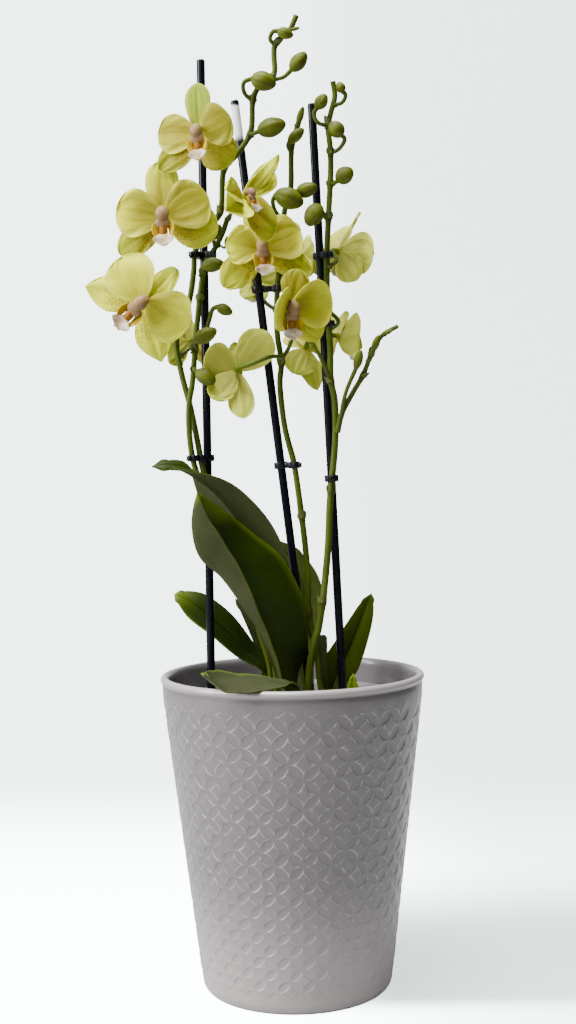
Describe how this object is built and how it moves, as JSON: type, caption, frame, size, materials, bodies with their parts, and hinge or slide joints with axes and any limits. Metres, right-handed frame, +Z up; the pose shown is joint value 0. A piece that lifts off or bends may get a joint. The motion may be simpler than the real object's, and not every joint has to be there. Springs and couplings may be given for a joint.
{
  "type": "potted orchid",
  "caption": "Flowering moth orchid with strap leaves and tall arching spikes clipped to slim stakes, in a tapered glazed pot with a raised overlapping-circle pattern.",
  "frame": {"origin": "centre of the outer pot's foot, on the surface it stands on", "axes": "+Z up, -Y towards the side that most of the open flowers face, +X to the right seen from that side"},
  "size_m": [0.1842, 0.1525, 0.5494],
  "materials": {
    "pot_glaze": "warm pale grey glaze, glossy",
    "grow_pot": "grey moulded plastic",
    "bark": "coarse chipped bark",
    "leaf": "dark green, waxy, paler underneath",
    "stem": "smooth green stems and buds",
    "tepal": "soft yellow-green, fine veins, speckled near the middle",
    "lip": "pale mauve to white with an orange and yellow throat",
    "black_plastic": "black, glossy"
  },
  "bodies": {
    "root": {"outer_pot": "pot_glaze", "grow_pot": "grow_pot", "bark_medium": "bark", "crown_left": "leaf", "crown_right": "leaf", "leaf_back_tall": "leaf", "leaf_front_tall": "leaf", "leaf_left": "leaf", "leaf_low_front": "leaf", "leaf_small_left": "leaf", "leaf_back_right": "leaf", "leaf_right": "leaf", "leaf_young_blunt": "leaf", "leaf_yellow_tip": "leaf", "spike_tall_left": "stem", "spike_second_left": "stem", "spike_middle": "stem", "spike_right": "stem", "spike_side_branch": "stem", "stake_left": "black_plastic", "stake_middle": "black_plastic", "stake_right": "black_plastic", "clip_left_low": "black_plastic", "clip_left_high": "black_plastic", "clip_middle_low": "black_plastic", "clip_middle_high": "black_plastic", "clip_right_low": "black_plastic", "clip_right_high": "black_plastic", "clip_right_knot": "black_plastic", "flower_01_tepals": "tepal", "flower_01_lip": "lip", "flower_02_tepals": "tepal", "flower_02_lip": "lip", "flower_03_tepals": "tepal", "flower_03_lip": "lip", "flower_04_tepals": "tepal", "flower_04_lip": "lip", "flower_05_tepals": "tepal", "flower_05_lip": "lip", "flower_06_tepals": "tepal", "flower_06_lip": "lip", "flower_07_tepals": "tepal", "flower_07_lip": "lip", "flower_08_tepals": "tepal", "flower_08_lip": "lip", "flower_09_tepals": "tepal", "flower_09_lip": "lip", "flower_10_tepals": "tepal", "flower_10_lip": "lip", "flower_11_tepals": "tepal", "flower_11_lip": "lip", "flower_12_tepals": "tepal", "flower_12_lip": "lip", "flower_13_tepals": "tepal", "flower_13_lip": "lip"}
  },
  "joints": []
}
